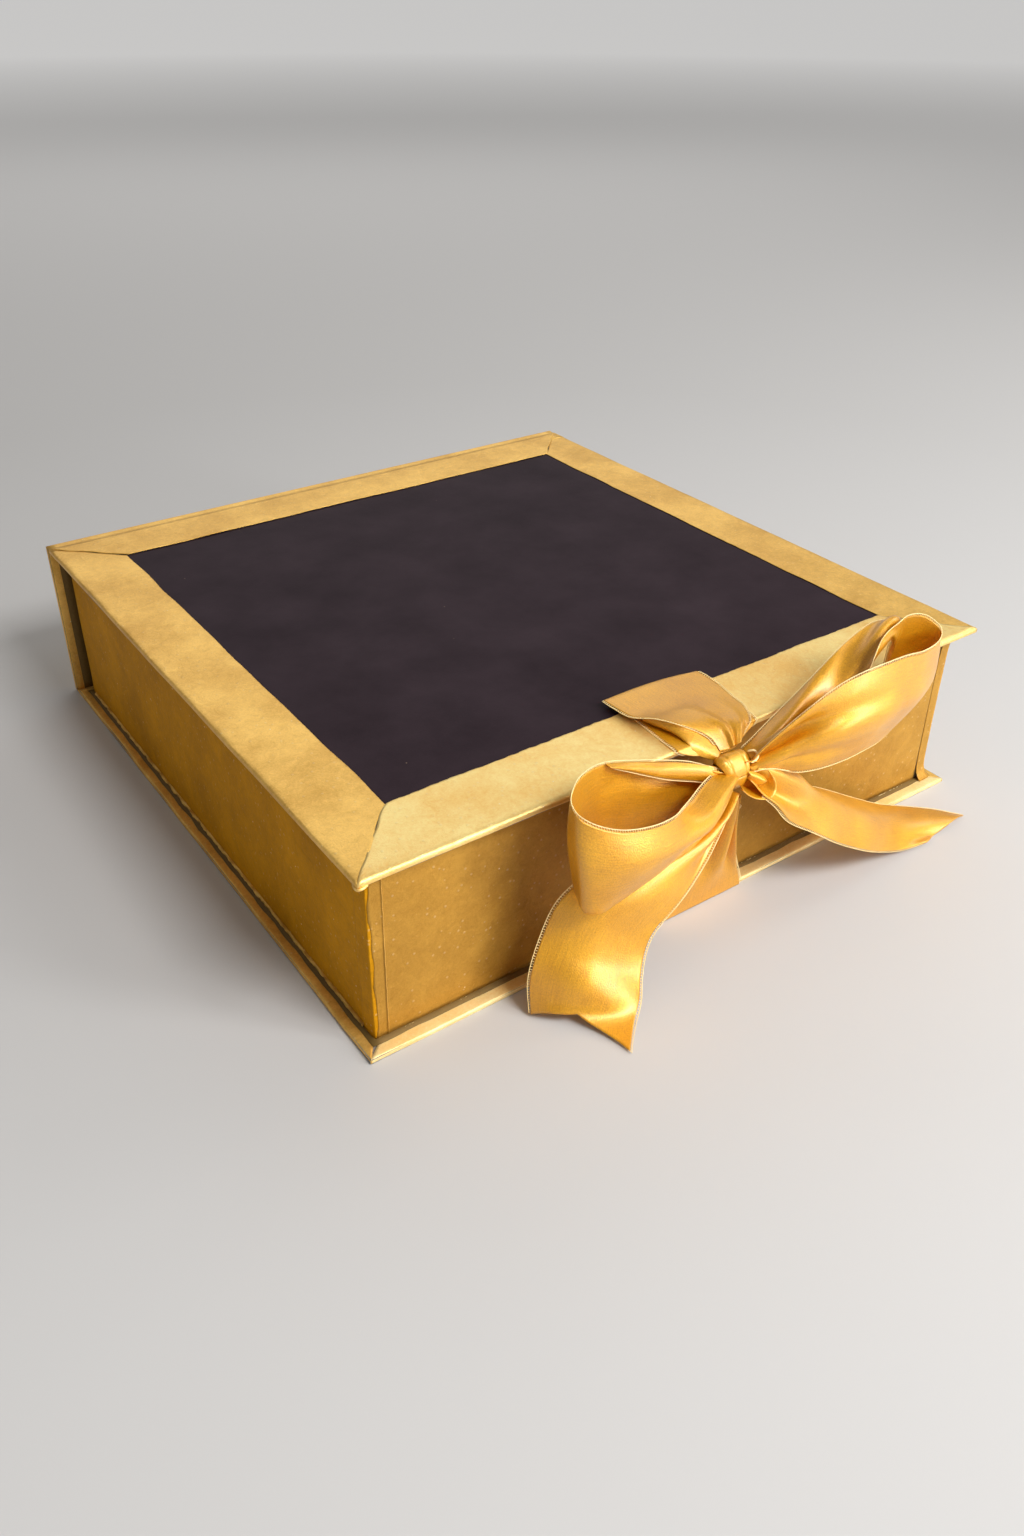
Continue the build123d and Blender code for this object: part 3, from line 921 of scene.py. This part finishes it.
def left_tail():
    """Down and out to the left, turning flat on the table, with a swallowtail end."""
    pairs = [
        ((0.7, -141.5, 53), (-4, -141, 56)), ((-3.5, -143.5, 46.7), (-14, -140.5, 46)),
        ((-13.2, -147, 39.4), (-34, -140, 46)), ((-25.2, -150, 31), (-52, -139.5, 45.5)),
        ((-38.5, -153, 22.5), (-66.5, -139, 39.2)), ((-46.5, -155, 8.6), (-73.7, -138.5, 25.8)),
        ((-53.7, -161, 2.2), (-77.5, -139, 12.5)), ((-63.8, -171, 0.9), (-79.6, -142, 1.4)),
    ]
    rise = [(0, 0, 0), (-0.5, -1.5, 0), (-1, -3.5, 1), (-1.5, -4.5, 2), (-2, -4.5, 2), (-3, -3.5, 1.0),
            (-3.5, -2, -1.5), (-2, -0.5, 0.3)]

    def fold(u, v):
        return 3.4 * bell(u, 0.62, 0.10) * (0.6 + 0.4 * math.sin(4 * v + 0.6)) - 1.6 * bell(u, 0.82, 0.09)

    ribbon("left_tail", arched(pairs, rise), "box", "bow_tail_left",
           fold=fold, pleats=(1.8, 0.2), cut=lambda v: 0.85 * (1 - abs(2 * v - 1)),
           fine=9, skip=(0.06, 1.0))


def right_tail():
    """Out of the curl beside the knot, down to the right, with a slanted cut end on the table."""
    pairs = [
        ((7.5, -141, 62.5), (4.8, -142.5, 57)), ((15.5, -140, 57.6), (5.5, -146, 53)),
        ((27, -138, 47.6), (9.5, -149, 48.4)), ((37.7, -136, 38.9), (16.2, -151, 41)),
        ((53.7, -134.5, 28.7), (28.2, -153, 32.6)), ((69.9, -134, 18.5), (40.5, -154.5, 23.6)),
        ((86, -134.6, 9.2), (54.7, -155.6, 15)), ((98, -137.8, 5), (67, -154, 8)),
        ((108.5, -144.5, 3.4), (79.5, -153.6, 3)), ((118.3, -150.8, 1.2), (91.2, -154, 1.1)),
    ]
    rise = [(0, 0, 0), (0.5, -1.2, 1.5), (1, -2.5, 3), (1.5, -3, 3.5), (1.5, -3, 3.5), (1.5, -2.5, 3.5),
            (1, -1.5, 3), (0.5, -0.5, 1.8), (0, 0, 1.0), (0, 0, 0.5)]

    def fold(u, v):
        return -1.6 * bell(u, 0.3, 0.14) * bell(v, 0.34, 0.12)

    ribbon("right_tail", arched(pairs, rise), "box", "bow_tail_right",
           fold=fold, fine=8, skip=(0.12, 1.0), pleats=(1.6, 0.9, 38, 29))


def lower_ribbon():
    """From under the base's front edge up to the knot, gathering as it rises."""
    pairs = [((18.6, -131.7, 0.5), (-20.2, -131.7, 0.5)), ((17, -132, 6), (-18.6, -132, 6)),
             ((12.7, -133, 16), (-11.5, -133, 18)), ((8.2, -134.4, 28), (-5.2, -134.4, 31)),
             ((5.2, -136, 39), (-2.3, -136, 41)), ((3.4, -138, 50), (-2.5, -138, 51))]
    rise = [(0, 0, 0), (0, -0.2, 0), (0, -1, 0), (0, -1.4, 0), (0, -1.4, 0), (0, -1, 0)]
    ribbon("lower_ribbon", arched(pairs, rise), "box", "ribbon_lower",
           fine=9, skip=(0.0, 0.92), pleats=(3.0, 0.4, 36.0))


def upper_ribbon():
    """Along the lid's front border, folded back on itself, and gathered over the edge to the knot."""
    t = lid.z1
    stations = [
        [(4, -135.6, 65.9), (0.5, -136.2, 66), (-2, -136, 66), (-4.5, -135.4, 65.8)],
        [(10, -133.6, 67.4), (3, -134.3, 67.2), (-5, -134.3, 67), (-11, -133.4, 66.8)],
        [(15.5, -131.9, t - 0.5), (5, -132.1, t - 0.5), (-6, -132.1, t - 0.5), (-16, -131.9, t - 0.6)],
        [(16.5, -130.2, t + 0.5), (6, -130, t + 0.6), (-6, -130, t + 0.6), (-16.9, -130, t + 0.5)],
        [(18.5, -120, t + 0.4), (7, -120, t + 0.5), (-5, -120, t + 0.5), (-16.2, -120, t + 0.4)],
        [(20.5, -106, t + 0.4), (8, -106, t + 0.4), (-5, -106, t + 0.4), (-14.9, -106, t + 0.4)],
        [(21, -99.5, t + 0.4), (8.5, -97.5, t + 0.4), (-4, -96.8, t + 0.4), (-15.6, -98.5, t + 0.5)],
        [(21, -98.2, t + 0.8), (8.5, -96, t + 0.9), (-4, -95.2, t + 1), (-17.5, -96.2, t + 1.3)],
        [(20.8, -98.6, t + 1.3), (8.5, -96.8, t + 1.6), (-4, -96.4, t + 1.8), (-18.6, -97, t + 2.1)],
        [(21.4, -102, t + 1), (8.4, -101.4, t + 1.9), (-4.5, -101.5, t + 2.2), (-18.6, -102.5, t + 2.3)],
        [(21.3, -107, t + 1), (8.2, -107.4, t + 2.1), (-5.2, -108, t + 2.6), (-18, -109, t + 2.4)],
        [(20.2, -112, t + 1.2), (8, -112.8, t + 2.2), (-6, -113.6, t + 3.2), (-16.7, -113.4, t + 3.4)],
        [(18.8, -117.6, t + 1.4), (7.6, -118.4, t + 2.6), (-5.4, -119, t + 4), (-14.6, -118.4, t + 4.9)],
        [(17.6, -124.6, t + 1.4), (8.4, -124.6, t + 2.4), (-2.6, -125, t + 4), (-11.6, -124.6, t + 5.2)],
        [(13.6, -131.2, t + 1.1), (7.4, -130.6, t + 2.4), (-0.6, -130, t + 2.8), (-7.2, -129, t + 3.4)],
        [(9.6, -133.6, t + 0.2), (5.6, -134, t + 1.2), (0.6, -133.6, t + 0.6), (-3.8, -132.4, t + 0.8)],
        [(5.4, -136.4, t - 1.4), (3.4, -137, t - 1.4), (0, -137, t - 1.8), (-3, -136, t - 2.4)],
    ]

    def fold(u, v):
        front = max(0.0, (u - 0.7) / 0.3)
        return front * (1.1 * bell(v, 0.42, 0.05) - 1.4 * bell(v, 0.55, 0.06)
                        - 0.8 * bell(v, 0.22, 0.06))

    ribbon("upper_ribbon", stations, "lid", "ribbon_upper",
           fold=fold, fine=6, wide=36, skip=(0.1, 0.97))
    roll = [[(-15.5, -113, t + 2.2), (-15.3, -112.6, t + 1.6), (-15, -112.2, t + 1)],
            [(-14.2, -117.4, t + 4.4), (-14.8, -117, t + 2.4), (-13.4, -117.4, t + 0.8)],
            [(-11.4, -123.8, t + 4.7), (-13.2, -123.6, t + 2.6), (-11.6, -123.4, t + 0.8)],
            [(-7, -128.6, t + 2.9), (-11.4, -129.4, t + 1.8), (-12, -130.4, t + 0.8)],
            [(-3.6, -132, t + 0.4), (-8, -133.6, t - 0.8), (-9.8, -133.8, t - 2.6)],
            [(-2.8, -136, t - 2.8), (-4.2, -137, t - 4), (-5.2, -136.4, t - 4.8)]]
    scrap("upper_ribbon_roll", roll, "lid", 14, along=1.0, across=0.8)


def knot_wrap():
    """A short band drawn tight round the middle, its edges rolled in and its satin pleated."""
    rows = []
    wide, around = 44, 72
    cy, cz = -139.3, 60.6
    for a in range(around):
        angle = 2 * math.pi * a / around
        up = math.sin(angle)
        row = []
        for c in range(wide + 1):
            v = c / wide
            side = 2 * v - 1
            slant = 0.05 * up
            pleat = -0.06 * bell(v - 0.20, slant, 0.04) - 0.05 * bell(v - 0.80, -slant, 0.05)
            size = 1 - 0.30 * abs(side) ** 5 + pleat
            row.append((-0.4 - 0.9 * up + side * (4.8 + 1.4 * up), cy - math.cos(angle) * 4.6 * size,
                        cz + up * 6.9 * size))
        rows.append(row)
    rows.append(rows[0])
    uvs = [(r * 0.6 * MM, 0.02 * c / wide) for r in range(around + 1) for c in range(wide + 1)]
    made = sheet_mesh("knot", rows, ribbon_satin, "box", 0.3, uvs=uvs, node="bow_knot")
    core = []
    for a in range(25):
        angle = 2 * math.pi * a / 24
        up = math.sin(angle)
        core.append([(-0.4 - 0.9 * up + side * (4.2 + 1.1 * up), cy - math.cos(angle) * 3.1 * shrink,
                      cz + up * 5.2 * shrink)
                     for side, shrink in ((-1, 0.1), (-1, 0.9), (0, 1), (1, 0.9), (1, 0.1))])
    sheet_mesh("knot_core", core, ribbon_satin, "box", 0)


def ear_curl():
    """Where the right tail leaves the knot it rolls over, leaving a small open scoop."""
    rim = [(1.2, -143.2, 65), (4.6, -143.8, 64.6), (7.8, -144.2, 62.6), (10.4, -146, 59.2),
           (11.6, -147.6, 55.8), (10.6, -148.8, 53.2), (7.6, -149.4, 52.4), (3.6, -148.4, 53.2),
           (0.6, -147.2, 55), (-1.4, -146, 57.2)]
    root = [(2, -142, 63), (3, -142, 62), (3.4, -141.5, 60.8), (3.6, -141, 59.6), (3.6, -141, 58.4),
            (3.4, -141, 57.4), (3, -141.2, 56.6), (2.4, -141.6, 56.2), (1.6, -142, 56.2),
            (0.8, -142.4, 56.6)]
    stations = []
    for edge, inner in zip(rim, root):
        edge, inner = Vector(edge), Vector(inner)
        middle = edge.lerp(inner, 0.5) + Vector((1.6, 2.6, -0.6))
        lip = edge + Vector((0.5, 0.8, -0.2))
        stations.append([tuple(edge + Vector((0.9, 1.9, -0.9))), tuple(edge), tuple(lip.lerp(middle, 0.55)),
                         tuple(middle), tuple(inner)])
    made = scrap("right_tail_curl", stations, "box", 22)
    tongue = [[(2.4, -143, 61.6), (2.8, -144.4, 60.4), (2.6, -143.4, 59)],
              [(5, -144, 60.6), (5.4, -146, 59), (4.6, -144.6, 57)],
              [(7.6, -145.4, 58.8), (7.6, -146.8, 57.6), (6.6, -145.6, 56)],
              [(9, -146, 57.2), (8.8, -146.2, 56.8), (8.4, -146, 56.4)]]
    scrap("right_tail_tongue", tongue, "box", 12)


left_loop()
left_loop_turnover()
right_loop()
left_tail()
right_tail()
lower_ribbon()
upper_ribbon()
knot_wrap()
ear_curl()
lip = [(lid.x0 + 0.5, lid.y0 + 3.0, lid.z0 + 0.1), (lid.x0 - 0.1, lid.y0 + 1.2, lid.z0 + 0.05),
       (lid.x0 + 0.2, lid.y0 - 0.1, lid.z0), (lid.x0 + 1.6, lid.y0 - 0.3, lid.z0 + 0.1),
       (lid.x0 + 3.4, lid.y0 + 0.3, lid.z0 + 0.2)]
# The corner lip is in the lighter copy of the gold paper: painted light.
tube("lid_corner_lip", [curve(lip, k / 5) for k in range(21)], 0.5, lit_front_gold, "lid")
ring = [(4.6, -140.4, 66.6), (5.9, -141.8, 67.2), (6.8, -142.8, 66), (6.4, -143.2, 64.9),
        (5, -143.4, 64.4), (3.6, -143.4, 64.5)]
# The ring is in the paler thread colour: painted highlight.
tube("selvage_ring", [curve(ring, k / 5) for k in range(26)], 0.38, lit_thread_gold, "box")


# -------- floor and light
def floor():
    """A pale matt floor that glows far from the box."""
    bpy.ops.mesh.primitive_plane_add(size=60)
    made = bpy.context.object
    made.name = "floor"
    finish = Finish("floor", Roughness=0.85, Specular_IOR_Level=0.05, Emission_Strength=1.0)
    finish.shader.inputs["Base Color"].default_value = (0.60, 0.59, 0.58, 1)
    away = finish.node("ShaderNodeVectorMath", {"operation": "LENGTH"}, {"Vector": finish.place()}, "Value")
    finish.set(Emission_Color=finish.mix(finish.level(away, 0.5, 4.0), (0, 0, 0), (0.42, 0.42, 0.42)))
    made.data.materials.append(finish.material)


def lamp(name, place, target, size, power, colour=(1, 1, 1)):
    """A rectangular light turned towards its target."""
    data = bpy.data.lights.new(name, "AREA")
    data.shape = "RECTANGLE"
    data.size, data.size_y = size
    data.energy = power
    data.color = colour
    made = bpy.data.objects.new(name, data)
    made.location = place
    made.rotation_euler = (Vector(target) - Vector(place)).to_track_quat("-Z", "Y").to_euler()
    bpy.context.scene.collection.objects.link(made)


floor()
world = bpy.data.worlds.new("studio")
bpy.context.scene.world = world
world.use_nodes = True
background = world.node_tree.nodes["Background"]
background.inputs["Color"].default_value = (1.0, 0.97, 0.93, 1)
background.inputs["Strength"].default_value = 0.25
lamp("key", (0.15, -0.95, 1.0), (0, 0, 0.05), (0.45, 0.35), 13)
lamp("window", (0.60, -0.95, 0.48), (0, -0.1, 0.05), (0.22, 0.8), 6)
lamp("low", (0.40, -1.0, 0.11), (0, -0.1, 0.05), (0.45, 0.2), 2.6)
lamp("side", (1.0, -0.2, 0.7), (0, 0, 0.05), (0.4, 0.4), 2)
lamp("back", (0.7, 1.3, 1.1), (0, 0, 0.05), (1.8, 1.0), 6)
bpy.context.scene.view_settings.view_transform = "Standard"
